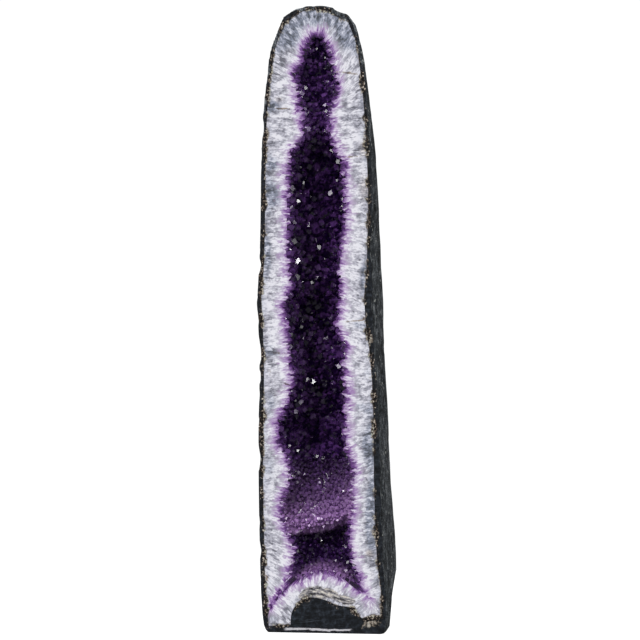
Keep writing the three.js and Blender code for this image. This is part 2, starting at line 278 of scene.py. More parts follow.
# Where the marks are: x, z, half the width, half the height, turn and strength.
MARKS = {
    Mark.GREY: ((-15, 1178, 60, 18, 0, 1.0), (40, 1138, 34, 22, -35, 0.9), (-70, 1140, 30, 24, 50, 0.9),
        (-104, 1010, 14, 9, 0, 1.0), (-106, 900, 16, 14, 0, 0.9), (-104, 838, 20, 26, 0, 0.95),
        (-116, 725, 8, 36, 0, 0.7), (84, 680, 12, 24, 0, 0.8), (70, 590, 18, 10, 0, 0.6),
        (76, 431, 22, 12, 0, 0.55), (88, 362, 16, 36, 0, 0.9), (92, 220, 12, 70, 0, 0.85),
        (-100, 538, 26, 9, 0, 0.7), (-106, 440, 10, 26, 0, 0.6), (-108, 320, 12, 30, 0, 0.3),
        (-110, 30, 16, 12, 0, 0.5)),
    Mark.STAIN: ((50, 1071, 26, 2.6, -8, 1.0), (-88, 1006, 26, 2.6, -3, 0.8), (54, 911, 26, 2.2, 4, 0.8),
        (62, 597, 30, 2.0, 5, 0.8), (84, 604, 10, 4.0, 30, 0.8), (-96, 536, 26, 2.2, -4, 0.7),
        (-76, 476, 14, 2.4, -20, 0.9), (88, 395, 12, 3.0, 0, 0.35), (-118, 104, 5, 9, 0, 0.8),
        (-75, 1170, 3, 3, 0, 1.0), (-112, 500, 6, 12, 0, 0.5)),
    Mark.AGATE: ((-7, 86, 24, 20, 0, 1.0), (-40, 74, 18, 9, 35, 0.8), (34, 72, 34, 14, -24, 1.0)),
    Mark.VIOLET: ((-22, 1108, 24, 36, 0, 1.0), (-88, 80, 12, 10, 45, 0.8), (-99, 68, 11, 9, 30, 0.75),
        (-109, 50, 9, 7, 60, 0.7), (-44, 968, 15, 20, 0, 0.5), (-50, 1006, 14, 14, 0, 0.6),
        (-60, 1068, 10, 12, 0, 0.5), (24, 1036, 13, 20, 0, 0.6), (13, 976, 14, 18, 0, 0.6),
        (44, 905, 9, 24, 0, 0.4), (38, 551, 10, 14, 0, 0.4)),
    Mark.CREAM: ((80, 926, 12, 16, 0, 0.7), (82, 850, 16, 30, 0, 0.6), (92, 154, 9, 8, 0, 1.0),
        (94, 19, 22, 7, 12, 1.0), (-93, 1024, 12, 6, 0, 0.6), (106, 494, 4, 16, 0, 1.0),
        (94, 560, 5, 10, 0, 0.9), (-124, 110, 6, 12, 0, 0.8)),
}


@dataclass
class KeyPair:
    """One line across the sawn face, from outside the stone to the hollow.

    Attributes:
        beyond: A point outside the stone, or below its foot.
        seam: A point where the quartz meets the dark rock.
        lining: The point of the hollow's edge, or of the closed seam, that the quartz grew towards.
        steps: How many lines follow up to the next pair.
    """

    beyond: tuple[float, float]
    seam: tuple[float, float]
    lining: tuple[float, float]
    steps: int


@dataclass
class FrontFace:
    """The sawn and polished plane, as a block whose front is netted along the growth of the quartz.

    Every solid is kept inside this block, so that its sawn faces carry the same UV maps. They say how far
    round the stone a point lies, how far from the seam and from the hollow, and which marks it has.

    Attributes:
        pairs: The net's main lines, round the stone.
        middle: The middle line of the hollow, as x and z.
        patches: The natural marks.
        closed_ends: Where the hollow's closed seams end.
        rim_steps: The net's steps from outside the stone to the seam.
        quartz_steps: Its steps from the seam to the hollow.
        crystal_steps: Its steps from there inwards.
        crystal_reach: How far these go, at most.
        crystal_share: The most they take of the way to the middle.
        core_share: Where the last step ends, as a share of that way.
        block_depth: How deep the block is.
        hole_width: The width that the net's open middle lies within.
        hole_heights: The heights that it lies between.
    """

    pairs: tuple[KeyPair, ...] = tuple(KeyPair(*row) for row in (
        ((-150, 250), (-122, 250), (-85, 250), 100), ((-150, 450), (-124, 450), (-66, 453), 125),
        ((-150, 700), (-122, 700), (-70, 700), 100), ((-150, 900), (-121, 900), (-73, 900), 65),
        ((-145, 1040), (-115, 1030), (-50, 1027), 42), ((-135, 1120), (-105, 1109), (-56, 1085), 42),
        ((-95, 1200), (-73, 1175), (-38, 1134), 40), ((-15, 1222), (-15, 1193), (-14, 1139), 40),
        ((65, 1200), (42, 1176), (0, 1130), 40), ((100, 1125), (68, 1114), (20, 1065), 60),
        ((112, 1000), (80, 1000), (8, 990), 75), ((116, 850), (86, 850), (40, 850), 105),
        ((112, 640), (80, 640), (32, 656), 95), ((128, 450), (98, 450), (38, 446), 75),
        ((132, 300), (101, 300), (50, 290), 65), ((138, 170), (108, 170), (48, 169), 36),
        ((142, 95), (115, 95), (84, 77), 28), ((140, -8), (120, 33), (95, 62), 20),
        ((70, -8), (66, 33), (95, 62), 28), ((45, -8), (48, 55), (84, 77), 40),
        ((-12, -8), (-12, 80), (-9, 120), 38), ((-50, -8), (-58, 54), (-86, 77), 28),
        ((-62, -8), (-62, 11), (-110, 46), 24), ((-138, -8), (-120, 11), (-110, 46), 12),
        ((-150, 45), (-120, 45), (-110, 46), 28), ((-150, 105), (-122, 105), (-86, 77), 66)))
    middle: tuple[tuple[float, float], ...] = (
        (-14, 150), (-14, 215), (-20, 300), (-22, 450), (-20, 650), (-18, 850), (-16, 965), (-16, 1060),
        (-18, 1112))
    patches: tuple[Patch, ...] = tuple(Patch(kind, *row) for kind, rows in MARKS.items() for row in rows)
    closed_ends: tuple[tuple[float, float], ...] = ((95, 62), (-110, 46))
    rim_steps: int = 8
    quartz_steps: int = 20
    crystal_steps: int = 10
    crystal_reach: float = 17.0
    crystal_share: float = 0.9
    core_share: float = 0.97
    block_depth: float = 250.0
    hole_width: float = 180.0
    hole_heights: tuple[float, float] = (100.0, 1130.0)

    def middle_of(self, z: float) -> Vector:
        """Gives the point of the hollow's middle line at a height in millimetres."""
        heights = [p[1] for p in self.middle]
        z = min(max(z, heights[0]), heights[-1])
        return Vector((float(np.interp(z, heights, [p[0] for p in self.middle])), z))

    def edge_loops(self) -> tuple[np.ndarray, np.ndarray]:
        """Reads the two edges of the quartz's sawn face from the CAD model.

        Returns:
            The outer and the inner edge, each as closed rows of x and z in face millimetres.
        """
        shape = node_copy("quartz_wall")
        front = {f for f in shape.faces if all(v.co.y < FACE_Y + IN_PLANE for v in f.verts)}
        ahead: dict = {}
        for edge in shape.edges:
            if sum(f in front for f in edge.link_faces) == 1:
                for a, b in (edge.verts, reversed(edge.verts)):
                    ahead.setdefault(a, []).append(b)
        loops = []
        while ahead:
            start = next(iter(ahead))
            loop, previous, current = [], None, start
            while current in ahead:
                loop.append(((current.co.x - FACE_X) / MM, current.co.z / MM))
                onward = [v for v in ahead.pop(current) if v is not previous]
                previous, current = current, onward[0]
            loops.append(self.refined(np.array(loop)))
        shape.free()
        loops.sort(key=lambda line: -np.ptp(line[:, 1]))
        return loops[0], loops[1]

    @staticmethod
    def refined(loop: np.ndarray, spacing: float = 2.0) -> np.ndarray:
        """Adds points along a closed line, so that none is further from the next than the spacing."""
        ends = np.roll(loop, -1, axis=0)
        counts = np.ceil(np.hypot(*(ends - loop).T) / spacing).astype(int)
        return np.vstack([a + (b - a) * (np.arange(n) / n)[:, None] for a, b, n in zip(loop, ends, counts)])

    @staticmethod
    def along(loop: np.ndarray, start: tuple[float, float], end: tuple[float, float],
              count: int) -> np.ndarray:
        """Samples the shorter way round a closed line between two points near it.

        Args:
            loop: The closed line.
            start: A point near the first sample.
            end: A point near where the next stretch starts.
            count: How many samples.

        Returns:
            The samples, evenly spaced, without the end.
        """
        first = int(np.argmin(np.hypot(*(loop - start).T)))
        last = int(np.argmin(np.hypot(*(loop - end).T)))
        forward = np.roll(loop, -first, axis=0)[:(last - first) % len(loop) + 1]
        back = np.roll(loop[::-1], first + 1, axis=0)[:(first - last) % len(loop) + 1]
        way = min((forward, back), key=lambda line: np.hypot(*np.diff(line, axis=0).T).sum())
        way = np.vstack((start, way, end)) if len(way) < 2 else way
        length = np.concatenate(([0], np.cumsum(np.hypot(*np.diff(way, axis=0).T))))
        at = np.linspace(0, length[-1], count + 1)[:-1]
        return np.column_stack([np.interp(at, length, way[:, i]) for i in range(2)])

    def snapped(self, point: tuple[float, float], loop: np.ndarray) -> np.ndarray:
        """Moves a point to the closed line's nearest corner, unless it ends a closed seam."""
        if point in self.closed_ends:
            return np.array(point)
        return loop[int(np.argmin(np.hypot(*(loop - point).T)))]

    def lines(self) -> list[list[Vector]]:
        """Works out the net's lines, each from outside the stone to the middle of the hollow."""
        seam_loop, lining_loop = self.edge_loops()
        beyond, seam, lining, shut = [], [], [], []
        for here, onward in zip(self.pairs, self.pairs[1:] + self.pairs[:1]):
            straight = np.linspace(0, 1, here.steps + 1)[:-1, None]
            beyond.append(np.array(here.beyond) * (1 - straight) + np.array(onward.beyond) * straight)
            seam.append(self.along(seam_loop, here.seam, onward.seam, here.steps))
            if {here.lining, onward.lining} & set(self.closed_ends):
                start, end = (self.snapped(p, lining_loop) for p in (here.lining, onward.lining))
                lining.append(start * (1 - straight) + end * straight)
                shut.extend([True] * here.steps)
                shut[-here.steps] = here.lining in self.closed_ends
            else:
                lining.append(self.along(lining_loop, here.lining, onward.lining, here.steps))
                shut.extend([False] * here.steps)
        return list(zip(np.vstack(beyond), np.vstack(seam), np.vstack(lining), shut))

    def at_row(self, line: tuple, row: int) -> tuple[np.ndarray, float, float]:
        """Finds one corner of the net.

        Args:
            line: The line across the face: its points beyond the stone, at the seam and at the lining.
            row: The step along it.

        Returns:
            The corner's x and z, and how far it is from the seam and from the hollow.
        """
        beyond, seam, lining, _ = line
        width = float(np.hypot(*(seam - lining)))
        if row <= self.rim_steps:
            part = 1 - row / self.rim_steps
            outside = part * float(np.hypot(*(beyond - seam)))
            return seam + (beyond - seam) * part, -outside, width + outside
        row -= self.rim_steps
        if row <= self.quartz_steps:
            part = row / self.quartz_steps
            return seam + (lining - seam) * part, width * part, width * (1 - part)
        part = (row - self.quartz_steps) / self.crystal_steps
        inward = np.array(self.middle_of(float(lining[1]))) - lining
        reach = float(np.hypot(*inward))
        gone = part * min(self.crystal_reach, reach * self.crystal_share)
        if part == 1:
            gone = reach * self.core_share
        return lining + inward / max(reach, 1e-6) * gone, width + gone, -gone

    def block(self) -> Object:
        """Builds the block: a netted front, just behind the saw's plane, and plain sides and back."""
        lines = self.lines()
        count = len(lines)
        rows = self.rim_steps + self.quartz_steps + self.crystal_steps
        shape = bmesh.new()
        ops.create_grid(shape, x_segments=rows, y_segments=count, size=1)
        shape.verts.ensure_lookup_table()
        numbers: dict[BMVert, tuple] = {}
        walked = 0.0
        spare = []
        for index in range(count + 1):
            line = lines[index % count]
            if index:
                steps = [line[i] - lines[index - 1][i] for i in (1, 2)]
                walked += float(sum(np.hypot(*step) for step in steps)) / 2
            for row in range(rows + 1):
                vertex = shape.verts[index * (rows + 1) + row]
                place, depth, left = self.at_row(line, row)
                vertex.co = on_face(float(place[0]), float(place[1]), SAW_DEPTH / MM)
                marks = {kind: sum(p.at(*place) for p in self.patches if p.kind is kind) for kind in Mark}
                numbers[vertex] = (walked, depth, left, marks)
                if line[3] and row > self.rim_steps + self.quartz_steps:
                    spare.append(vertex)
        ops.delete(shape, geom=spare, context="VERTS")
        self.mark_growth(shape, numbers)
        ops.remove_doubles(shape, verts=shape.verts, dist=0.001 * MM)
        low, high = self.hole_heights
        hole = [e for e in shape.edges if e.is_boundary and low * MM < e.verts[0].co.z < high * MM
                and all(abs(v.co.x) < self.hole_width / 2 * MM for v in e.verts)]
        ops.holes_fill(shape, edges=hole, sides=0)
        ops.recalc_face_normals(shape, faces=shape.faces)
        pushed = ops.extrude_face_region(shape, geom=shape.faces[:])
        moved = [g for g in pushed["geom"] if isinstance(g, BMVert)]
        ops.translate(shape, verts=moved, vec=(0, self.block_depth * MM, 0))
        ops.recalc_face_normals(shape, faces=shape.faces)
        log.info("front block: %d faces, %d open edges", len(shape.faces),
                 sum(len(e.link_faces) != 2 for e in shape.edges))
        return object_from("front_block", shape)

    @staticmethod
    def mark_growth(shape: BMesh, numbers: dict[BMVert, tuple]) -> None:
        """Gives the net its UV maps, with lengths in metres, before its ends are joined.

        Args:
            shape: The net.
            numbers: For each of its corners the millimetres walked round the stone, those from the seam and
                those left to the hollow, and the strength of each kind of mark.
        """
        growth, edge, marks, hues = [shape.loops.layers.uv.new(name) for name in UV_MAPS]
        for corner in (corner for face in shape.faces for corner in face.loops):
            walked, depth, left, strength = numbers[corner.vert]
            corner[growth].uv = (walked * MM, depth * MM)
            corner[edge].uv = (left * MM, strength[Mark.AGATE])
            corner[marks].uv = (strength[Mark.GREY], strength[Mark.STAIN])
            corner[hues].uv = (strength[Mark.VIOLET], strength[Mark.CREAM])


NOISE = "ShaderNodeTexNoise"
CELLS = "ShaderNodeTexVoronoi"
MAPPING = "ShaderNodeMapping"
RAMP = "ShaderNodeValToRGB"
RANGE = "ShaderNodeMapRange"
MATH = "ShaderNodeMath"
SPLIT = "ShaderNodeSeparateXYZ"
UV = "ShaderNodeUVMap"
SOFT = {"interpolation_type": "SMOOTHSTEP"}
QUARTZ_IOR = 1.544


def weighed(add: Callable, start: float | NodeSocket, *parts: tuple) -> NodeSocket:
    """Adds up values, each times its own weight.

    Args:
        add: The function that adds a node.
        start: What the sum starts from.
        parts: Each value and its weight.

    Returns:
        The sum.
    """
    for value, weight in parts:
        start = add(MATH, {0: value, 1: weight, 2: start}, operation="MULTIPLY_ADD")
    return start


def coated(add: Callable, stone: tuple | NodeSocket, *layers: tuple) -> NodeSocket:
    """Lays colours over a stone, one after the other.

    Args:
        add: The function that adds a node.
        stone: The stone's own colour.
        layers: For each layer, how much of it shows, and its colour.

    Returns:
        The colour of it all.
    """
    for share, colour in layers:
        stone = add("ShaderNodeMix", {0: share, 6: stone, 7: colour}, 2, data_type="RGBA")
    return stone


@dataclass(frozen=True)
class Finish:
    """What every finish has: a name, and the start and end of its material."""

    name: str

    def start(self) -> tuple[Material, Callable, Node]:
        """Makes an empty material with a shader.

        Returns:
            The material, the function that adds a node to it, and the shader.
        """
        material = bpy.data.materials.new(self.name)
        material.use_nodes = True
        tree = material.node_tree
        return material, partial(add_node, tree), tree.nodes["Principled BSDF"]

    @staticmethod
    def surface(shader: Node, stone: NodeSocket, rough: NodeSocket,
                relief: NodeSocket, depth: float, strength: float) -> None:
        """Links a stone's colour, roughness and relief to its shader.

        Args:
            shader: The shader.
            stone: The colour.
            rough: The roughness.
            relief: The height of the relief, about 0 to 1.
            depth: How deep it is, in millimetres.
            strength: How much of it shows.
        """
        tree = shader.id_data
        settings = {"Height": relief, "Distance": depth * MM, "Strength": strength}
        bump = add_node(tree, "ShaderNodeBump", settings)
        for name, value in (("Base Color", stone), ("Roughness", rough), ("Normal", bump)):
            tree.links.new(value, shader.inputs[name])


@dataclass(frozen=True)
class ChiselledBasalt(Finish):
    """Basalt dressed with a chisel: dull charcoal, paler where the tool bruised it, with bright grains.

    Attributes:
        streak: The width, depth and length of a chisel mark, in millimetres.
        grit: The size of the stone's grain, in millimetres, drawn as coarse as it needs to show.
    """

    name: str = "basalt, chiselled"
    streak: tuple[float, float, float] = (8.0, 8.0, 30.0)
    grit: float = 2.6

    def make(self) -> Material:
        """Makes the material."""
        material, add, shader = self.start()
        place = add("ShaderNodeTexCoord", out="Object")
        slanted = add(MAPPING, {"Vector": place, "Rotation": (0.1, 0.05, 0.0)})
        along = add(MAPPING, {"Vector": slanted, "Scale": per_mm(*self.streak)})
        streaks = add(NOISE, {"Vector": along, "Scale": 1.0, "Detail": 5.0, "Roughness": 0.68})
        grit, broad, lumps, clusters = (
            add(NOISE, {"Vector": place, "Scale": 1 / (size * MM), "Detail": detail, "Roughness": rough})
            for size, detail, rough in ((self.grit, 3, 0.7), (60, 2, 0.5), (13, 4, 0.6), (26, 2, 0.5)))
        # The bruises follow the chisel's strokes, broken by grit and by lumps of harder rock.
        bruises = weighed(add, -0.09, (streaks, 0.42), (grit, 0.38), (lumps, 0.26), (broad, 0.12))
        stone = add(RAMP, {0: bruises}, stops=(
            (0.4, "#111315"), (0.45, "#25292c"), (0.495, "#3f4449"), (0.54, "#5c6167"), (0.61, "#a6abae")))
        # Pale grains of 2 mm stand in clusters.
        long_cells = add(MAPPING, {"Vector": slanted, "Scale": per_mm(7, 7, 12)})
        to_grain = add(CELLS, {"Vector": long_cells, "Scale": 1.0})
        grain = add(MATH, {0: add(RANGE, {0: to_grain, 1: 0.26, 2: 0.16}, **SOFT),
                           1: add(RANGE, {0: clusters, 1: 0.54, 2: 0.6}, **SOFT)}, operation="MULTIPLY")
        stone = coated(add, stone, (grain, linear("#cfd3cd")))
        rough = add(RANGE, {0: grit, 1: 0.3, 2: 0.7, 3: 0.7, 4: 0.46})
        shader.inputs["Specular IOR Level"].default_value = 0.25
        self.surface(shader, stone, rough, weighed(add, streaks, (grit, 0.35)), 3.6, 1.0)
        return material


@dataclass(frozen=True)
class SawnBasalt(Finish):
    """Basalt sawn and half polished: dark blue-grey with fine saw scratches, and stained at the seam."""

    name: str = "basalt, sawn and polished"

    def make(self) -> Material:
        """Makes the material."""
        material, add, shader = self.start()
        place = add("ShaderNodeTexCoord", out="Object")
        across, _, height = add(SPLIT, {0: place}).node.outputs
        depth = add(SPLIT, {0: add(UV, uv_map="growth")}, 1)
        cream = add(SPLIT, {0: add(UV, uv_map="hues")}, 1)
        clouds, bits, broad = (
            add(NOISE, {"Vector": place, "Scale": 1 / (size * MM), "Detail": detail, "Roughness": rough})
            for size, detail, rough in ((11, 5, 0.7), (4.2, 3, 0.62), (22, 2, 0.5)))
        stone = add(RAMP, {0: clouds}, stops=(
            (0.34, "#090a0d"), (0.48, "#15181d"), (0.58, "#242931"), (0.7, "#3c424b")))
        turned = add(MAPPING, {"Vector": place, "Rotation": (0.0, 0.12, 0.0)})
        long_marks = add(MAPPING, {"Vector": turned, "Scale": per_mm(46, 46, 1.6)})
        scratches = add(NOISE, {"Vector": long_marks, "Scale": 1.0, "Detail": 2.0})
        marked = add(RANGE, {0: scratches, 1: 0.58, 2: 0.72, 4: 0.4}, **SOFT)
        # Specks of clay, zeolite and iron stain in the seam, as bright or dark crumbs of 2 to 5 mm.
        crumbs = add(RAMP, {0: bits}, stops=(
            (0.46, "#070606"), (0.52, "#1b1512"), (0.57, "#4b3d34"), (0.62, "#978a7e"), (0.69, "#e2dbd0")))
        near_seam = weighed(add, depth, (bits, 10 * MM), (broad, 34 * MM))
        near_seam = add(RANGE, {0: near_seam, 1: 16 * MM, 2: 22 * MM}, **SOFT)
        clay = add(RAMP, {0: clouds}, stops=((0.4, "#2b2723"), (0.5, "#8b8074"), (0.58, "#bdb8ae")))
        cream = add(RANGE, {0: weighed(add, cream, (bits, 1.6)), 1: 1.2, 2: 1.6}, **SOFT)
        # The saw left a pale bruised line just over the foot, broken here and there.
        stretched = add(MAPPING, {"Vector": place, "Scale": per_mm(26, 26, 9)})
        worn = add(NOISE, {"Vector": stretched, "Scale": 1.0, "Detail": 4.0, "Roughness": 0.7})
        off_line = weighed(add, height, (worn, 10 * MM), (1.0, -12 * MM))
        off_line = add(MATH, {0: off_line}, operation="ABSOLUTE")
        off_middle = add(MATH, {0: weighed(add, across, (1.0, 13 * MM - FACE_X))}, operation="ABSOLUTE")
        line = add(RANGE, {0: off_line, 1: 2.6 * MM, 2: 1.2 * MM}, **SOFT)
        for share in (add(RANGE, {0: off_middle, 1: 72 * MM, 2: 62 * MM}, **SOFT),
                      add(RANGE, {0: worn, 1: 0.36, 2: 0.46}, **SOFT)):
            line = add(MATH, {0: line, 1: share}, operation="MULTIPLY")
        stone = coated(add, stone, (marked, linear("#535963")), (near_seam, crumbs), (cream, clay),
                       (line, linear("#cbc9d0")))
        rough = add(RANGE, {0: clouds, 1: 0.3, 2: 0.7, 3: 0.3, 4: 0.45})
        shader.inputs["Specular IOR Level"].default_value = 0.2
        self.surface(shader, stone, rough, scratches, 0.2, 0.5)
        return material


@dataclass(frozen=True)
class SawnQuartz(Finish):
    """Quartz sawn across its fibres and polished: silky white, grey where it is clear, violet at its tips.

    Attributes:
        fibre: The width and length of one quartz fibre on the sawn face, in millimetres, drawn coarser than
            the real half millimetre so that it shows.
        bundle: The width and length of a bundle of fibres.
    """

    name: str = "quartz and amethyst, sawn and polished"
    fibre: tuple[float, float] = (3.2, 11.0)
    bundle: tuple[float, float] = (6.0, 20.0)

    def make(self) -> Material:
        """Makes the material."""
        material, add, shader = self.start()
        place = add("ShaderNodeTexCoord", out="Object")
        growth, *others = (add(UV, uv_map=name) for name in UV_MAPS)
        depth = add(SPLIT, {0: growth}, 1)
        (left, agate, _), (grey, stain, _), (amethyst, cream, _) = (
            add(SPLIT, {0: other}).node.outputs for other in others)
        along = add(MAPPING, {"Vector": growth, "Scale": per_mm(*self.fibre, 1)})
        fibres = add(NOISE, {"Vector": along, "Scale": 1.0, "Detail": 3.0, "Roughness": 0.65})
        wide = add(MAPPING, {"Vector": growth, "Scale": per_mm(*self.bundle, 1)})
        bent = add(NOISE, {"Vector": place, "Scale": 1 / (9 * MM), "Detail": 2.0}, "Color")
        wide = add("ShaderNodeVectorMath", {0: bent, 1: (1.1, 1.1, 0.0), 2: wide}, operation="MULTIPLY_ADD")
        each = add(SPLIT, {0: add(CELLS, {"Vector": wide, "Scale": 1.0}, "Color")})
        seams = add(CELLS, {"Vector": wide, "Scale": 1.0}, feature="DISTANCE_TO_EDGE")
        blotches, grains, bits, broad = (
            add(NOISE, {"Vector": place, "Scale": 1 / (size * MM), "Detail": detail, "Roughness": rough})
            for size, detail, rough in ((15, 4, 0.62), (3.4, 2, 0.5), (4.2, 3, 0.62), (22, 2, 0.5)))
        # Silk: 0.5 in the middle, with fibres, bundles that each lie their own way, and cloudy parts.
        silk = weighed(add, -0.18, (fibres, 0.52), (each, 0.16), (grains, 0.13), (blotches, 0.55))
        white = add(RAMP, {0: silk}, stops=(
            (0.35, "#6c6c77"), (0.42, "#9a9aa7"), (0.465, "#bab9c6"), (0.51, "#d3d2de"), (0.58, "#f3f2fa")))
        clear = add(RAMP, {0: silk}, stops=(
            (0.38, "#42474f"), (0.45, "#696f7e"), (0.51, "#8b91a4"), (0.57, "#b1b5c7"), (0.64, "#dcdeea")))
        outer = add(RANGE, {0: depth, 1: 26 * MM, 2: 0.0, 4: 0.4}, **SOFT)
        greyness = weighed(add, -0.75, (outer, 1.0), (grey, 1.0), (blotches, 1.3))
        greyness = add(RANGE, {0: greyness, 1: 0.05, 2: 0.7, 4: 0.95}, **SOFT)
        # Each bundle turns violet at its own distance from the hollow, which makes the ragged fringe.
        patchy = add(MATH, {0: amethyst, 1: add(RANGE, {0: blotches, 1: 0.4, 2: 0.62, 3: 0.3, 4: 1.5})},
                     operation="MULTIPLY")
        ragged = weighed(add, left, (each, 15 * MM), (fibres, 44 * MM), (patchy, -22 * MM))
        violet = add(RAMP, {0: add(RANGE, {0: ragged, 1: 4.5 * MM, 2: 48.5 * MM})}, stops=(
            (0.04, "#1b0a27"), (0.18, "#341748"), (0.3, "#5a3075"), (0.42, "#85589f"),
            (0.54, "#ac87c2", 0.85), (0.68, "#cbb1da", 0.6), (0.95, "#ddd0e8", 0.0)))
        # The joints between amethyst points show as darker lines, only in the violet part.
        joint = add(MATH, {0: add(RANGE, {0: seams, 1: 0.09, 2: 0.0, 4: 0.6}, **SOFT),
                           1: add(RANGE, {0: left, 1: 3 * MM, 2: -5 * MM}, **SOFT)}, operation="MULTIPLY")
        # Agate: thin layers along the seam, pale and dark in turn, that wander like the mound's outline.
        banded = add(MAPPING, {"Vector": growth, "Scale": per_mm(26, 5.0, 1)})
        bands = add(NOISE, {"Vector": banded, "Scale": 1.0, "Detail": 3.0, "Roughness": 0.6})
        layers = add(RAMP, {0: weighed(add, bands, (bits, 0.35))}, stops=(
            (0.56, "#3a383b"), (0.63, "#79767a"), (0.69, "#9b99a0"), (0.75, "#bdb6ad"), (0.82, "#e4dfd8")))
        low_band = add(RANGE, {0: weighed(add, depth, (blotches, 24 * MM)), 1: 37 * MM, 2: 34 * MM}, **SOFT)
        agate = add(RANGE, {0: weighed(add, agate, (blotches, 0.9)), 1: 0.8, 2: 1.0}, **SOFT)
        agate = add(MATH, {0: agate, 1: low_band}, operation="MULTIPLY")
        rusty = add(RANGE, {0: weighed(add, stain, (bits, 1.2)), 1: 0.95, 2: 1.35, 4: 0.85}, **SOFT)
        rust = add(RAMP, {0: silk}, stops=((0.42, "#33261f"), (0.58, "#8d7a63")))
        stone = coated(add, white, (greyness, clear), (violet.node.outputs[1], violet),
                       (joint, linear("#2f1640")), (agate, layers), (rusty, rust))
        cream = add(RANGE, {0: cream, 1: 0.1, 2: 1.0, 4: 0.75}, **SOFT)
        stone = add("ShaderNodeMix", {0: cream, 6: stone, 7: linear("#efe2cf")}, 2, data_type="RGBA",
                    blend_type="MULTIPLY")
        # Crumbs of clay and rock, a few millimetres large, are caught in the seam.
        crumbs = add(RAMP, {0: bits}, stops=(
            (0.44, "#100d0b"), (0.49, "#2f2620"), (0.54, "#6a5c50"), (0.59, "#bfb5a7"), (0.66, "#a4afa2")))
        at_seam = weighed(add, depth, (bits, -10 * MM), (broad, -26 * MM))
        stone = coated(add, stone, (add(RANGE, {0: at_seam, 1: -14 * MM, 2: -19 * MM}, **SOFT), crumbs))
        shader.inputs["IOR"].default_value = QUARTZ_IOR
        rough = add(RANGE, {0: silk, 1: 0.35, 2: 0.65, 3: 0.34, 4: 0.18})
        self.surface(shader, stone, rough, silk, 0.5, 0.5)
        return material


@dataclass(frozen=True)
class GrownQuartz(Finish):
    """The back of the crystal layer: milky quartz with a breath of violet."""

    name: str = "quartz, milky"

    def make(self) -> Material:
        """Makes the material."""
        material, add, shader = self.start()
        place = add("ShaderNodeTexCoord", out="Object")
        clouds = add(NOISE, {"Vector": place, "Scale": 1 / (9 * MM), "Detail": 4.0})
        milk = add(RAMP, {0: clouds}, stops=((0.3, "#a898c4"), (0.7, "#e3dcee")))
        shader.id_data.links.new(milk, shader.inputs["Base Color"])
        shader.inputs["IOR"].default_value = QUARTZ_IOR
        shader.inputs["Roughness"].default_value = 0.45
        return material


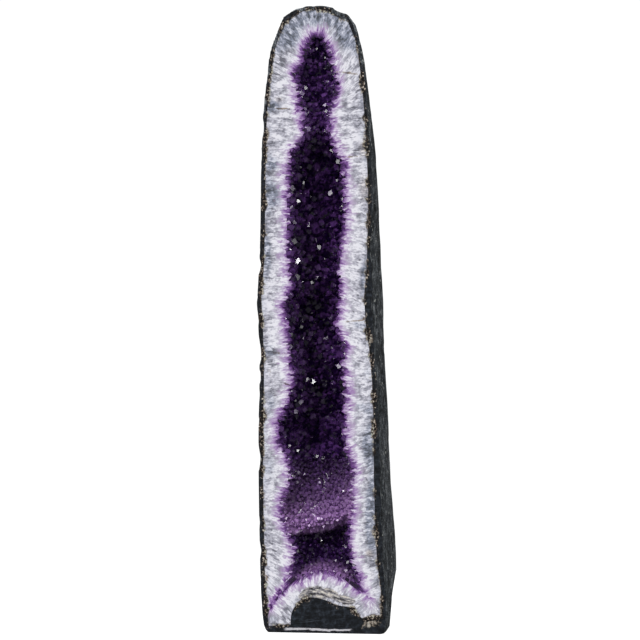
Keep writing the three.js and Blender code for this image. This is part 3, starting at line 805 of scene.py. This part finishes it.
@dataclass(frozen=True)
class Amethyst(Finish):
    """Natural amethyst points: see-through stone with glassy faces, darker the thicker it is.

    Attributes:
        dark: The stone's colour where it is deepest.
        light: Its colour in the paler clouds, and the colour of the painted light near the saw's plane and in
            the neck.
        palest_and_lit: Its colour where the points are young and small, near the foot, which is also painted
            light where the ledge and the arch face up to the lamps.
        clearness: How much of the light goes through; the rest is scattered by flaws.
        darkening: How much light a metre takes out.
        passing: The colour of the light that passes.
    """

    name: str = "amethyst, natural faces"
    dark: str = "#2a1048"
    light: str = "#9d66c6"
    palest_and_lit: str = "#a985ba"
    clearness: float = 0.7
    darkening: float = 120.0
    passing: str = "#a050c0"

    def make(self) -> Material:
        """Makes the material."""
        material, add, shader = self.start()
        tree = shader.id_data
        place = add("ShaderNodeTexCoord", out="Object")
        across, behind, height = add(SPLIT, {0: place}).node.outputs
        # Every point has its own depth of colour, and each is deepest at its tip.
        each, below_tip, _ = add(SPLIT, {0: add(UV, uv_map="crystal")}).node.outputs
        clouds, broad = (
            add(NOISE, {"Vector": place, "Scale": 1 / (size * MM), "Detail": detail, "Roughness": rough})
            for size, detail, rough in ((7, 3, 0.7), (38, 1, 0.5)))
        # Painted light: the points next to the saw's plane are painted paler, as if light came in through the
        # sawn points.
        painted_light_near_saw = add(RANGE, {0: behind, 1: FACE_Y + 18 * MM, 2: FACE_Y + 4 * MM, 4: 0.18}, **SOFT)
        # The points in the narrow neck are thin, and are painted paler there: painted light, as the light
        # from the front reaches them.
        off_neck = add(MATH, {0: weighed(add, height, (1.0, -985 * MM))}, operation="ABSOLUTE")
        painted_light_at_neck = add(RANGE, {0: off_neck, 1: 50 * MM, 2: 15 * MM, 4: 0.18}, **SOFT)
        # The shade sums the stone's own clouds and colour zoning with the painted light near the saw's plane
        # and in the neck.
        shade = weighed(add, clouds, (each, 0.36), (below_tip, 0.012 / MM), (broad, 0.5), (painted_light_near_saw, 1.0),
                        (painted_light_at_neck, 1.0))
        shade = add(RANGE, {0: shade, 1: 0.87, 2: 1.19}, **SOFT)
        # Pale: the young points' own paler colour, and painted light on the upward faces of the ledge and the
        # arch.
        pale = self.pale_and_lit(add, across, height)
        stone = coated(add, linear(self.dark), (shade, linear(self.light)), (pale, linear(self.palest_and_lit)))
        tree.links.new(stone, shader.inputs["Base Color"])
        shader.inputs["IOR"].default_value = QUARTZ_IOR
        shader.inputs["Roughness"].default_value = 0.03
        shader.inputs["Transmission Weight"].default_value = self.clearness
        passing = {"Color": linear(self.passing), "Density": self.darkening}
        absorption = add("ShaderNodeVolumeAbsorption", passing)
        tree.links.new(absorption, tree.nodes["Material Output"].inputs["Volume"])
        return material

    @staticmethod
    def pale_and_lit(add: Callable, across: NodeSocket, height: NodeSocket) -> NodeSocket:
        """Says how pale the points are on the ledge, which rises to the right, and on the mound's arch:
        partly their own paler colour, partly painted light where the ledge and the arch face up to the lamps.

        Args:
            add: The function that adds a node.
            across: Metres to the right.
            height: Metres above the ground.

        Returns:
            1 on the ledge's lip, less above it and on the arch, and 0 elsewhere.
        """
        share = add(RANGE, {0: across, 1: FACE_X - 66 * MM, 2: FACE_X + 52 * MM})
        rise = add(MATH, {0: share, 1: share}, operation="MULTIPLY")
        over = add(RANGE, {0: weighed(add, height, (rise, -31 * MM)), 1: 180 * MM, 2: 345 * MM})
        ledge = add(RAMP, {0: over}, stops=(
            (0.03, "#000000"), (0.08, "#ffffff"), (0.22, "#ffffff"), (0.42, "#b4b4b4"), (0.72, "#6a6a6a"),
            (1.0, "#000000")))
        aside = add(RANGE, {0: across, 1: FACE_X - 90 * MM, 2: FACE_X + 80 * MM, 3: -1.0, 4: 1.0})
        fall = add(MATH, {0: aside, 1: aside}, operation="MULTIPLY")
        over = weighed(add, height, (fall, 43 * MM))
        low = add(RANGE, {0: over, 1: 122 * MM, 2: 146 * MM, 3: 0.65, 4: 0.0}, **SOFT)
        middle = add(RANGE, {0: fall, 1: 0.1, 2: 0.8, 3: 1.0, 4: 0.25}, **SOFT)
        arch = add(MATH, {0: low, 1: middle}, operation="MULTIPLY")
        return add(MATH, {0: ledge, 1: arch}, operation="MAXIMUM")


def dress(piece: Object, rough: Material, sawn: Material, smooth: bool) -> None:
    """Gives a piece one material where it is sawn at the front and another elsewhere.

    Args:
        piece: The piece.
        rough: The material of its natural faces.
        sawn: The material of its sawn front.
        smooth: Whether its natural faces are shaded smooth.
    """
    mesh = piece.data
    mesh.materials.clear()
    mesh.materials.append(rough)
    mesh.materials.append(sawn)
    for face in mesh.polygons:
        at_front = face.normal.y < SAWN_NORMAL and face.center.y < FACE_Y + 5 * SAW_DEPTH
        face.material_index = int(at_front)
        face.use_smooth = smooth and not at_front


@dataclass
class Rock:
    """The dark rind: chiselled outside, sawn at the front and the foot, with sizes in millimetres.

    Attributes:
        grain: The finest detail of its mesh.
        overhang: How far the uncut stone reaches past the sawn planes.
        chip: The width and height of a scooped chip.
        chip_depth: Its depth for each whole step between two chips' middles.
        chip_step: The largest such step that still deepens a chip.
        stroke: The width and length of a chisel stroke.
        stroke_depth: Its depth.
        dent: The size of a broad dent.
        dent_depth: Its depth.
        bend: The size and the strength of the bends in strokes and chips.
        raised: How much of the depth is given back, so that ridges keep to the stone's outline.
        proud: The most that a ridge stands out before the outline trims it.
    """

    grain: float = 3.0
    overhang: float = 14.0
    chip: tuple[float, float] = (30.0, 52.0)
    chip_depth: float = 8.0
    chip_step: float = 0.6
    stroke: tuple[float, float] = (7.5, 46.0)
    stroke_depth: float = 1.3
    dent: float = 38.0
    dent_depth: float = 1.1
    bend: tuple[float, float] = (70.0, 14.0)
    raised: float = 2.7
    proud: float = 0.5

    def whole_stone(self) -> Object:
        """Fills the CAD solids to one block that reaches past the sawn planes."""
        shape = bmesh.new()
        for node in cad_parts.values():
            shape.from_mesh(node.data)
        ops.remove_doubles(shape, verts=shape.verts, dist=MERGED)
        crust = node_copy("amethyst_crust")
        hull = ops.convex_hull(crust, input=crust.verts)
        spare = {g for g in hull["geom_interior"] + hull["geom_unused"] if isinstance(g, BMVert)}
        ops.delete(crust, geom=list(spare), context="VERTS")
        hull_mesh = bpy.data.meshes.new("hull")
        crust.to_mesh(hull_mesh)
        crust.free()
        shape.from_mesh(hull_mesh)
        bpy.data.meshes.remove(hull_mesh)
        mesh = bpy.data.meshes.new("stone")
        shape.to_mesh(mesh)
        for dy, dz in ((-self.overhang, 0), (0, -self.overhang), (-self.overhang, -self.overhang)):
            shape.from_mesh(mesh)
            shape.verts.ensure_lookup_table()
            count = len(mesh.vertices)
            ops.translate(shape, verts=shape.verts[-count:], vec=(0, dy * MM, dz * MM))
        bpy.data.meshes.remove(mesh)
        stone = object_from("stone", shape)
        with_modifier(stone, "REMESH", mode="VOXEL", voxel_size=self.grain * MM, adaptivity=0)
        return stone

    def chisel(self, stone: Object) -> None:
        """Takes chips and long chisel strokes off the outside, only inwards."""
        shape = bmesh.new()
        shape.from_mesh(stone.data)
        for _ in range(2):
            ops.smooth_vert(shape, verts=shape.verts, factor=0.5,
                                  use_axis_x=True, use_axis_y=True, use_axis_z=True)
        shape.normal_update()
        bend_size, bend_strength = self.bend
        (stroke_width, stroke_length), (chip_width, chip_height) = self.stroke, self.chip
        for vertex in shape.verts:
            p = vertex.co / MM
            bend = noise.noise(p / bend_size) * bend_strength
            along = Vector(((p.x + bend) / stroke_width, (p.y + bend) / stroke_width, p.z / stroke_length))
            strokes = noise.ridged_multi_fractal(along, 0.9, 2.1, 3, 1.0, 2.0) * 0.5
            cells = noise.voronoi(Vector((p.x / chip_width, p.y / chip_width, (p.z + bend) / chip_height)))[0]
            scoops = min(cells[1] - cells[0], self.chip_step)
            dents = noise.noise(p / self.dent) * 0.5 + 0.5
            inwards = self.stroke_depth * strokes + self.chip_depth * scoops + self.dent_depth * dents
            vertex.co -= vertex.normal * max(inwards - self.raised, -self.proud) * MM
        shape.to_mesh(stone.data)
        shape.free()

    def build(self, block: Object) -> Object:
        """Makes the finished rind."""
        stone = self.whole_stone()
        self.chisel(stone)
        rind = object_from("rind", node_copy("basalt_rind"))
        work_in(stone, rind, Join.KEEP_INSIDE)
        work_in(stone, block, Join.KEEP_INSIDE)
        drop(rind)
        stone.name = stone.data.name = "chiselled_rind"
        return stone


@dataclass
class Wall:
    """The white quartz between the rock and the crystals."""

    def build(self, block: Object) -> Object:
        """Makes the quartz with its netted sawn face."""
        wall = object_from("sawn_quartz", node_copy("quartz_wall"))
        work_in(wall, block, Join.KEEP_INSIDE)
        keep_largest(wall)
        return wall


@dataclass
class CrystalForm:
    """One habit of quartz point: a six-sided prism with a steep six-faced end.

    Attributes:
        offsets: How far each end face stands back from the tip, as shares of the radius.
        length: The bar's length below the tip, in radii.
        steepness: Degrees between the prism's axis and the normals of its end faces, as in all quartz.
    """

    offsets: tuple[float, ...]
    length: float = 4.0
    steepness: float = 51.8

    def mesh(self) -> tuple[np.ndarray, list[list[int]]]:
        """Cuts the point from a hexagonal bar with one plane per end face.

        Returns:
            Vertices with the tip at the origin, unit radius and pointing along +Z, and the faces.
        """
        shape = bmesh.new()
        ops.create_cone(shape, cap_ends=True, segments=6, radius1=1, radius2=1, depth=self.length + 2)
        ops.translate(shape, verts=shape.verts, vec=(0, 0, 1 - self.length / 2))
        upright = Vector((math.sin(math.radians(self.steepness)), 0, math.cos(math.radians(self.steepness))))
        for side, offset in enumerate(self.offsets):
            normal = Matrix.Rotation(math.radians(60 * side + 30), 3, "Z") @ upright
            cut = ops.bisect_plane(shape, geom=shape.verts[:] + shape.edges[:] + shape.faces[:], dist=1e-6,
                                         plane_co=normal * offset, plane_no=normal, clear_outer=True)
            rim = [g for g in cut["geom_cut"] if isinstance(g, BMEdge)]
            if len(rim) > 2:
                ops.contextual_create(shape, geom=rim)
        ops.remove_doubles(shape, verts=shape.verts, dist=1e-4)
        ops.recalc_face_normals(shape, faces=shape.faces)
        highest = max(v.co.z for v in shape.verts)
        shape.verts.ensure_lookup_table()
        shape.verts.index_update()
        places = np.array([(v.co.x, v.co.y, v.co.z - highest) for v in shape.verts])
        faces = [[v.index for v in f.verts] for f in shape.faces]
        shape.free()
        return places, faces


@dataclass
class Crystals:
    """The amethyst points that line one stretch of the hollow, with sizes in millimetres.

    Attributes:
        name: The piece's name.
        low: Where it starts above the ground.
        high: Where it ends.
        thin: The smallest radius.
        thick: The largest radius.
        stand: How far the tip of a point of no thickness would stand from the quartz.
        lift: How much further a point stands for each millimetre of radius.
        seed: What its random draws start from.
        crowding: How close the points stand, as a share of their radii.
        lean: How far they lean.
        lengths: The least and the most of its usual length that a point has.
        fineness: How much thin points outnumber thick ones, as a power.
        narrow: The width of the hollow below which points get thinner.
        thinnest: The smallest radius there.
        room_share: The most of the hollow's width that a point reaches across.
        forms: How many crystal forms there are.
        backing: The thickness of the layer that the points grow from.
        sunk: How far its back is pressed into the quartz, so that no gap shows, which is also how near the
            CAD crust lies where points grow.
        back: The distance from the quartz within which the CAD crust is its back.
        overlap: How far it reaches into the next stretch.
        reach: How far round a point its neighbours are looked for.
        clearance: How far apart two points of one batch stand, as a share of their radii.
    """

    name: str
    low: float
    high: float
    thin: float
    thick: float
    stand: float
    lift: float
    seed: int
    crowding: float = 0.76
    lean: float = 0.22
    lengths: tuple[float, float] = (0.82, 1.16)
    fineness: float = 2.4
    narrow: float = 34.0
    thinnest: float = 1.6
    room_share: float = 0.42
    forms: int = 14
    backing: float = 3.2
    sunk: float = 1.2
    back: float = 2.5
    overlap: float = 4.0
    reach: float = 26.0
    clearance: float = 1.12

    def habits(self, rng: np.random.Generator) -> list[tuple[np.ndarray, list[list[int]]]]:
        """Makes the set of crystal forms, with three large and three small end faces each."""
        made = []
        for _ in range(self.forms):
            large = rng.uniform(-0.22, 0.12, 3)
            small = rng.uniform(0.12, 0.42, 3)
            offsets = [float(v) for pair in zip(large, small) for v in pair]
            made.append(CrystalForm(tuple(offsets)).mesh())
        return made

    def feet(self, rng: np.random.Generator) -> list[tuple[Vector, Vector, float, float]]:
        """Scatters the feet of the crystals on the quartz wall, the thick ones first.

        Returns:
            For each crystal its foot, the wall's outward direction there, and in millimetres its radius and
            the room up to the wall across.
        """
        wall = node_copy("quartz_wall")
        crust = node_copy("amethyst_crust")
        near = BVHTree.FromBMesh(crust)
        ops.triangulate(wall, faces=wall.faces)
        triangles = []
        for face in wall.faces:
            middle = face.calc_center_median()
            if face.normal.y > SAWN_NORMAL or middle.y > FACE_Y + MM:
                if near.ray_cast(middle, face.normal, self.sunk * MM)[0] is not None:
                    triangles.append(face)
        across = BVHTree.FromBMesh(wall)
        areas = np.array([f.calc_area() for f in triangles])
        tries = int(areas.sum() / (self.thin * 0.55 * MM) ** 2)
        picks = rng.choice(len(triangles), size=tries, p=areas / areas.sum())
        corners = rng.random((tries, 2))
        radii = np.sort(self.thin + (self.thick - self.thin) * rng.random(tries) ** self.fineness)[::-1]
        cell = self.thick * 2 * self.crowding * MM
        taken: dict = {}
        kept = []
        for pick, (a, b), radius in zip(picks, corners, radii):
            face = triangles[pick]
            if a + b > 1:
                a, b = 1 - a, 1 - b
            p, q, r = (v.co for v in face.verts)
            foot = p + (q - p) * a + (r - p) * b
            if not self.low * MM <= foot.z < self.high * MM:
                continue
            room = across.ray_cast(foot + face.normal * 0.1 * MM, face.normal)[3]
            if room is not None and room < self.narrow * MM:
                radius = max(radius * room / (self.narrow * MM), self.thinnest)
            key = tuple(int(math.floor(c / cell)) for c in foot)
            around = (other for i in (-1, 0, 1) for j in (-1, 0, 1) for k in (-1, 0, 1)
                      for other in taken.get((key[0] + i, key[1] + j, key[2] + k), ()))
            if any((foot - spot).length < (radius + size) * self.crowding * MM for spot, size in around):
                continue
            taken.setdefault(key, []).append((foot, radius))
            kept.append((foot, face.normal.copy(), float(radius), room / MM if room else 1000.0))
        wall.free()
        crust.free()
        return kept

    def batches(self, segments: np.ndarray, radii: np.ndarray) -> list[list[int]]:
        """Sorts the crystals into batches in which none touches another.

        Args:
            segments: For each crystal its foot and its tip.
            radii: Their radii.

        Returns:
            Lists of crystal numbers.
        """
        count = len(radii)
        samples = np.linspace(0, 1, 5)[None, :, None]
        points = segments[:, None, 0] * (1 - samples) + segments[:, None, 1] * samples
        tree = KDTree(count)
        middles = segments.mean(axis=1)
        for index in range(count):
            tree.insert(middles[index], index)
        tree.balance()
        batch_of = np.full(count, -1)
        for index in range(count):
            near = [n for _, n, _ in tree.find_range(middles[index], self.reach * MM) if batch_of[n] >= 0]
            used = set()
            if near:
                gaps = np.linalg.norm(points[near][:, None, :, :] - points[index][None, :, None, :], axis=-1)
                touching = gaps.min(axis=(1, 2)) < (radii[near] + radii[index]) * self.clearance
                used = set(batch_of[np.array(near)[touching]].tolist())
            batch_of[index] = next(b for b in range(count) if b not in used)
        return [np.nonzero(batch_of == b)[0].tolist() for b in range(int(batch_of.max()) + 1)]

    def backing_layer(self) -> Object:
        """Makes the thin layer that the points grow from, out of the CAD crust.

        Returns:
            The layer, with its back just inside the quartz so that no gap shows where both are sawn.
        """
        crust = node_copy("amethyst_crust")
        wall = node_copy("quartz_wall")
        near = BVHTree.FromBMesh(wall)
        for vertex in crust.verts:
            spot, _, _, gap = near.find_nearest(vertex.co)
            at_face = vertex.co.y < FACE_Y + IN_PLANE
            outwards = (vertex.co - spot).normalized()
            if gap > self.backing * MM:
                vertex.co = spot + outwards * self.backing * MM
            elif gap < self.back * MM:
                vertex.co = spot - outwards * self.sunk * MM
            if at_face:
                vertex.co.y = FACE_Y
        wall.free()
        for height, outside in ((self.low - self.overlap, (0, 0, -1)), (self.high + self.overlap, (0, 0, 1))):
            cut = ops.bisect_plane(crust, geom=crust.verts[:] + crust.edges[:] + crust.faces[:],
                                         plane_co=(0, 0, height * MM), plane_no=outside, clear_outer=True)
            rim = [g for g in cut["geom_cut"] if isinstance(g, BMEdge)]
            ops.holes_fill(crust, edges=rim, sides=0)
        ops.triangulate(crust, faces=crust.faces)
        crust.loops.layers.uv.new("crystal")
        return object_from("crystals", crust)

    def build(self, block: Object) -> Object:
        """Grows the crystals, joins them to one body and saws it at the front."""
        rng = np.random.default_rng(self.seed)
        habits = self.habits(rng)
        feet = self.feet(rng)
        count = len(feet)
        segments = np.zeros((count, 2, 3))
        radii = np.zeros(count)
        placed = []
        for index, (foot, normal, radius, room) in enumerate(feet):
            axis = (normal + Vector(rng.normal(0, self.lean, 3))).normalized()
            length = (self.stand + self.lift * radius) * rng.uniform(*self.lengths)
            length = min(length, self.room_share * room + 1)
            tip = foot + axis * length * MM
            turn = Vector((0, 0, 1)).rotation_difference(axis).to_matrix()
            spin = Matrix.Rotation(rng.uniform(0, math.tau), 3, "Z")
            matrix = np.array(turn @ spin) * radius * MM
            segments[index] = (foot - axis * 2 * MM, tip - axis * radius * 0.6 * MM)
            radii[index] = radius * MM
            form = int(rng.integers(len(habits)))
            placed.append((form, matrix, np.array(tip), length / radius, rng.random()))
        batches = self.batches(segments, radii)
        crystals = self.backing_layer()
        # The forms are placed as plain copies, with no operator for each, because there are so many.
        for batch in batches:
            points, faces, shades, total = [], [], [], 0
            for index in batch:
                form, matrix, tip, length, shade = placed[index]
                places, form_faces = habits[form]
                local = places.copy()
                local[:, 2] = np.maximum(local[:, 2], -length - 0.3)
                points.append(local @ matrix.T + tip)
                faces.extend([[i + total for i in face] for face in form_faces])
                shades.append(np.column_stack((np.full(len(local), shade), -local[:, 2] * radii[index])))
                total += len(places)
            mesh = bpy.data.meshes.new("batch")
            mesh.from_pydata(np.vstack(points), [], faces)
            corners = [i for face in faces for i in face]
            mesh.uv_layers.new(name="crystal").uv.foreach_set("vector", np.vstack(shades)[corners].ravel())
            grown = new_object("batch", mesh)
            work_in(crystals, grown, Join.ADD)
            drop(grown)
        work_in(crystals, block, Join.KEEP_INSIDE)
        keep_largest(crystals)
        crystals.name = crystals.data.name = self.name
        log.info("%s: %d crystals in %d batches", self.name, count, len(batches))
        return crystals


@dataclass
class Studio:
    """The plain pale room, its soft lights and the camera.

    Attributes:
        floor_radius: The floor's radius, in metres.
        sparks: Where the small lamps hang whose reflections flash on a few crystal faces.
        eye: The camera's place, in metres.
        aim: The point that it looks at.
        lens: Its focal length, in millimetres.
    """

    floor_radius: float = 3.2
    sparks: tuple[tuple[float, float, float], ...] = (
        (-0.1, -1, -0.12), (-0.75, -0.9, 0.15), (0.45, -0.8, 1.0), (0.2, -1, 0.3), (-0.4, -1, 0.7),
        (0.9, -0.7, 0.5), (-0.2, -0.7, 1.1))
    eye: tuple[float, float, float] = (3.0760, -8.5598, 0.4490)
    aim: tuple[float, float, float] = (-0.0021, -0.1026, 0.5990)
    lens: float = 264.5

    def build(self) -> None:
        """Makes the floor, the world, the lights and the camera."""
        shape = bmesh.new()
        ops.create_circle(shape, cap_ends=True, segments=96, radius=self.floor_radius)
        floor = object_from("floor", shape)
        material = bpy.data.materials.new("matt white board")
        material.use_nodes = True
        board = material.node_tree.nodes["Principled BSDF"]
        board.inputs["Base Color"].default_value = linear("#8c8c8c")
        board.inputs["Roughness"].default_value = 0.9
        board.inputs["Emission Color"].default_value = (1, 1, 1, 1)
        by_eye = add_node(material.node_tree, "ShaderNodeLightPath", out="Is Camera Ray")
        glow = add_node(material.node_tree, MATH, {0: by_eye, 1: 0.96}, operation="MULTIPLY")
        material.node_tree.links.new(glow, board.inputs["Emission Strength"])
        floor.data.materials.append(material)
        self.world()
        self.light("key", (-0.3, -0.75, 0.8), 40, 2.3)
        self.light("side", (0.9, -0.45, 0.3), 36, 0.6)
        self.light("back", (-0.5, 0.85, 0.5), 30, 0.7)
        for number, towards in enumerate(self.sparks):
            self.light(f"spark_{number}", towards, 4.5, 0.08)
        self.camera()

    def world(self) -> None:
        """Makes the surroundings white to the eye and dimmer as a light."""
        world = bpy.data.worlds.new("studio")
        bpy.context.scene.world = world
        world.use_nodes = True
        tree = world.node_tree
        tree.nodes.clear()
        by_eye = add_node(tree, "ShaderNodeLightPath", out="Is Camera Ray")
        seen = add_node(tree, "ShaderNodeBackground", {"Color": (1, 1, 1, 1), "Strength": 1.05})
        lit = add_node(tree, "ShaderNodeBackground", {"Color": (1, 1, 1, 1), "Strength": 0.2})
        both = add_node(tree, "ShaderNodeMixShader", {0: by_eye, 1: lit, 2: seen})
        tree.links.new(both, tree.nodes.new("ShaderNodeOutputWorld").inputs["Surface"])

    def light(self, name: str, towards: tuple[float, float, float], width: float, strength: float) -> None:
        """Hangs one large soft lamp far off.

        Args:
            name: Its name.
            towards: The direction in which it hangs.
            width: How wide it looks, in degrees.
            strength: Its light.
        """
        data = bpy.data.lights.new(name, "SUN")
        data.angle = math.radians(width)
        data.energy = strength
        lamp = bpy.data.objects.new(name, data)
        lamp.rotation_euler = Vector(towards).to_track_quat("Z", "Y").to_euler()
        bpy.context.scene.collection.objects.link(lamp)

    def camera(self) -> None:
        """Sets the camera where the photograph was taken from."""
        data = bpy.data.cameras.new("camera")
        data.lens = self.lens
        data.sensor_width = 36
        data.clip_end = 200
        camera = bpy.data.objects.new("camera", data)
        camera.location = self.eye
        camera.rotation_euler = (Vector(self.aim) - camera.location).to_track_quat("-Z", "Y").to_euler()
        bpy.context.scene.collection.objects.link(camera)
        bpy.context.scene.camera = camera
        bpy.context.scene.view_settings.view_transform = "Standard"


def keep(piece: Object, node: str) -> None:
    """Says what a finished piece rides on and replaces, and logs its triangles."""
    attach(piece, "root")
    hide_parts(node)
    triangles = sum(len(p.vertices) - 2 for p in piece.data.polygons)
    log.info("%s: %d triangles", piece.name, triangles)


def main() -> None:
    """Builds the pieces in order and reports each."""
    logging.basicConfig(level=logging.INFO, format="%(relativeCreated)7d %(message)s")
    block = FrontFace().block()
    sawn_quartz = SawnQuartz().make()
    rock = Rock().build(block)
    dress(rock, ChiselledBasalt().make(), SawnBasalt().make(), True)
    keep(rock, "basalt_rind")
    wall = Wall().build(block)
    dress(wall, GrownQuartz().make(), sawn_quartz, True)
    keep(wall, "quartz_wall")
    dark = Amethyst().make()
    # The foot's points are paler, and their palest colour is also painted light on the ledge and the arch.
    pale = Amethyst("amethyst, pale natural faces", dark="#281140", light="#68408c", palest_and_lit="#c99ade",
                    clearness=0.45, darkening=90.0).make()
    stretches = (
        (Crystals("crown_points", 965, 1200, 2.8, 6.0, 8.4, 1.0, 5), dark),
        (Crystals("upper_channel_points", 650, 965, 3.0, 8.0, 8.4, 0.9, 11), dark),
        (Crystals("lower_channel_points", 330, 650, 3.0, 8.0, 8.4, 0.9, 17), dark),
        (Crystals("foot_points", 60, 330, 2.3, 4.2, 9.4, 1.0, 23), pale),
    )
    for crystals, amethyst in stretches:
        # Each piece is sawn a hair behind the one before, so that no two sawn faces lie in one plane.
        block.location.y += 0.03 * MM
        points = crystals.build(block)
        dress(points, amethyst, sawn_quartz, False)
        keep(points, "amethyst_crust")
    drop(block)
    Studio().build()


if __name__ == "__main__":
    main()
